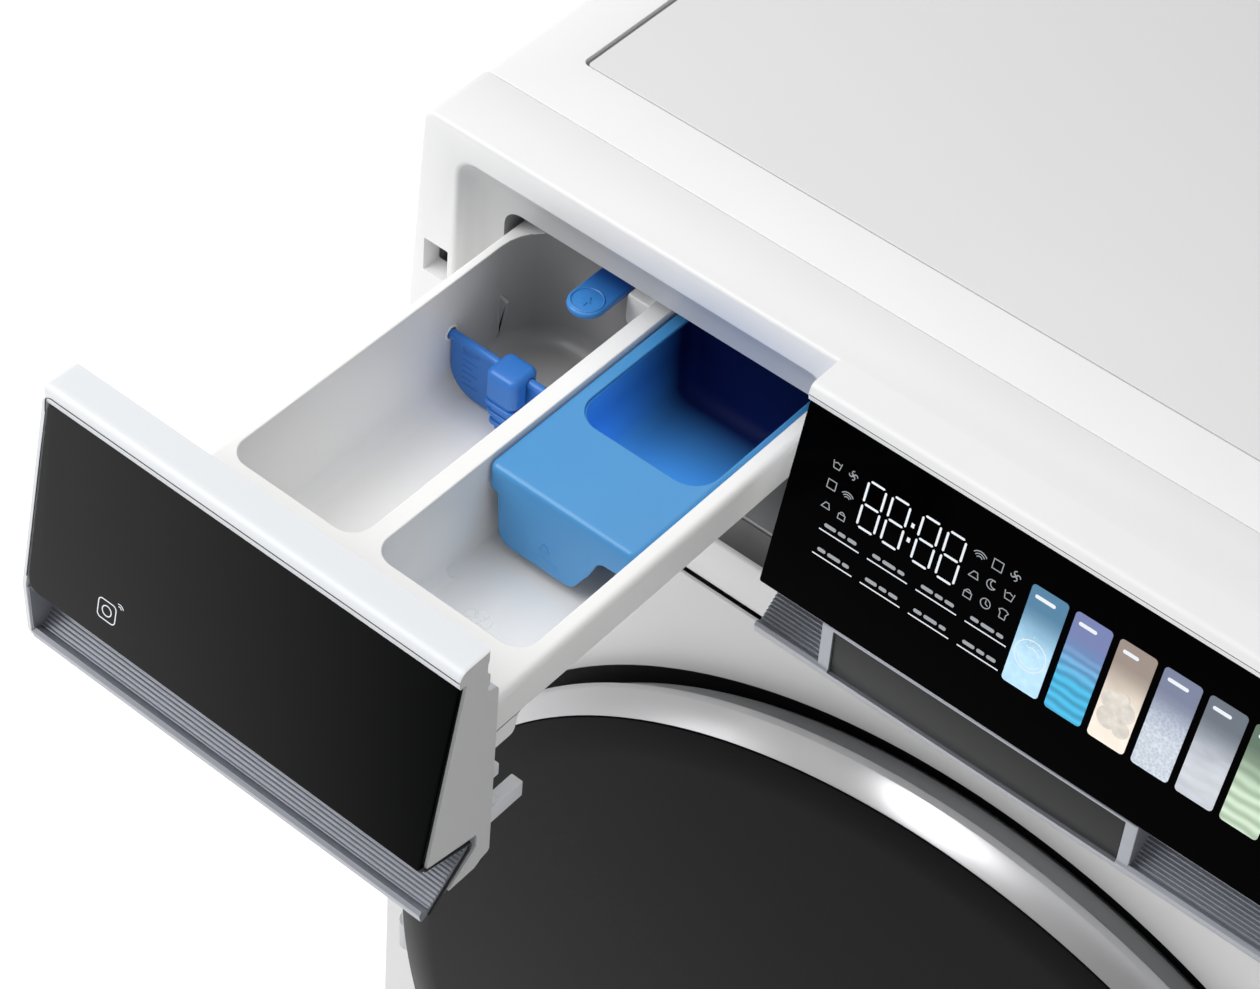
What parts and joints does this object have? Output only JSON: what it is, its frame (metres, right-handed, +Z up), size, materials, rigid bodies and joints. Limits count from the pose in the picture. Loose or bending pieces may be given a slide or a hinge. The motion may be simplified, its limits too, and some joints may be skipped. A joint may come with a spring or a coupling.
{
  "type": "front load washing machine",
  "caption": "Front load washing machine with a large round black-glass door, a sloping touch panel and a pulled-out detergent drawer with a blue softener insert.",
  "frame": {"origin": "on the floor, in the middle of the footprint measured with the drawer pulled out", "axes": "+Z up, the front with the door and the drawer faces -Y, +X to the machine's right as seen from the front"},
  "size_m": [0.595, 0.7288, 0.85],
  "materials": {
    "white_plastic": "satin white moulding",
    "white_paint": "satin white enamel",
    "grey_plastic": "matt grey moulding",
    "black_glass": "gloss black printed glass",
    "clear_glass": "clear pressed glass",
    "satin_trim": "satin grey-blue metallised trim",
    "silver_ring": "satin silver",
    "dark_plastic": "matt black moulding",
    "light_blue": "semi-gloss light blue",
    "deep_blue": "semi-gloss deep blue",
    "stainless": "polished stainless steel",
    "steel": "zinc-plated steel",
    "rubber": "soft grey rubber",
    "cast_weight": "rough dark casting",
    "circuit": "green circuit board",
    "copper": "copper windings on an iron ring"
  },
  "bodies": {
    "cabinet": {"base_tray": "dark_plastic", "cabinet_shell": "white_paint", "console_body": "white_plastic", "front_panel": "white_paint", "worktop_frame": "white_plastic", "worktop_sheet": "white_paint", "panel_glass": "black_glass", "panel_trim": "satin_trim", "trim_plate": "dark_plastic", "display_board": "circuit", "dispenser_housing": "grey_plastic", "inlet_valve": "white_plastic", "fill_hose": "rubber", "mains_gland": "dark_plastic", "rear_cover": "white_paint", "foot_1": "dark_plastic", "foot_2": "dark_plastic", "foot_3": "dark_plastic", "foot_4": "dark_plastic", "drain_pump": "grey_plastic", "drain_hose": "rubber", "door_lock": "dark_plastic", "hinge_bracket": "steel", "damper_body_left": "dark_plastic", "damper_body_right": "dark_plastic", "spring_left": "steel", "spring_right": "steel", "door_gasket": "rubber", "dispenser_bellows": "rubber", "sump_hose": "rubber"},
    "drawer": {"drawer_tray": "white_plastic", "drawer_front": "white_plastic", "drawer_glass": "black_glass", "drawer_trim": "satin_trim"},
    "release_tab": {"release_tab": "deep_blue"},
    "detergent_flap": {"detergent_flap": "deep_blue"},
    "flap_grip": {"flap_grip": "deep_blue"},
    "softener_insert": {"softener_insert": "light_blue"},
    "door": {"door_ring": "silver_ring", "door_glass": "black_glass", "door_frame": "grey_plastic", "door_bowl": "clear_glass", "hinge_pin": "steel"},
    "latch_hook": {"latch_hook": "steel"},
    "tub": {"tub_front": "grey_plastic", "tub_rear": "grey_plastic", "counterweight_front": "cast_weight", "motor_stator": "copper", "drum_bearing": "steel", "heater": "steel", "damper_rod_left": "steel", "damper_rod_right": "steel"},
    "drum": {"drum_shell": "stainless", "drum_spider": "steel", "lifter_1": "white_plastic", "lifter_2": "white_plastic", "lifter_3": "white_plastic", "motor_rotor": "steel"},
    "service_flap": {"service_flap": "white_plastic"},
    "filter_cap": {"filter_cap": "grey_plastic"}
  },
  "joints": [
    {"name": "drawer_slide", "type": "slide", "parent": "cabinet", "child": "drawer", "axis": [0, 1, 0], "range_m": [0, 0.184]},
    {"name": "detergent_flap_pivot", "type": "hinge", "parent": "drawer", "child": "detergent_flap", "pos_m": [-0.218, -0.1756, 0.779], "axis": [1, 0, 0], "range_deg": [0, 75]},
    {"name": "flap_grip_slide", "type": "slide", "parent": "detergent_flap", "child": "flap_grip", "axis": [0, 0, 1], "range_m": [0, 0.008]},
    {"name": "release_tab_press", "type": "hinge", "parent": "drawer", "child": "release_tab", "pos_m": [-0.2085, -0.1246, 0.8], "axis": [1, 0, 0], "range_deg": [0, 6], "stiffness_Nm_per_rad": 0.5},
    {"name": "softener_insert_lift", "type": "slide", "parent": "drawer", "child": "softener_insert", "axis": [0, 0, 1], "range_m": [0, 0.01]},
    {"name": "door_hinge", "type": "hinge", "parent": "cabinet", "child": "door", "pos_m": [-0.266, -0.1666, 0.4086], "axis": [0, 0, -1], "range_deg": [0, 150]},
    {"name": "latch_hook_pivot", "type": "hinge", "parent": "door", "child": "latch_hook", "pos_m": [0.224, -0.1496, 0.4086], "axis": [0, 0, 1], "range_deg": [0, 8], "stiffness_Nm_per_rad": 2},
    {"name": "tub_suspension", "type": "slide", "parent": "cabinet", "child": "tub", "axis": [0, 0, 1], "range_m": [-0.01, 0.01], "stiffness_N_per_m": 20000, "springref_m": 0.02294, "deforming": ["spring_left", "spring_right", "door_gasket", "dispenser_bellows", "sump_hose"]},
    {"name": "drum_spin", "type": "hinge", "parent": "tub", "child": "drum", "pos_m": [0, 0.0724, 0.4086], "axis": [0, 1, 0], "continuous": true},
    {"name": "service_flap_hinge", "type": "hinge", "parent": "cabinet", "child": "service_flap", "pos_m": [0.215, -0.1481, 0.049], "axis": [1, 0, 0], "range_deg": [0, 100]},
    {"name": "filter_cap_turn", "type": "hinge", "parent": "cabinet", "child": "filter_cap", "pos_m": [0.215, -0.1356, 0.08], "axis": [0, -1, 0], "range_deg": [0, 90]}
  ]
}
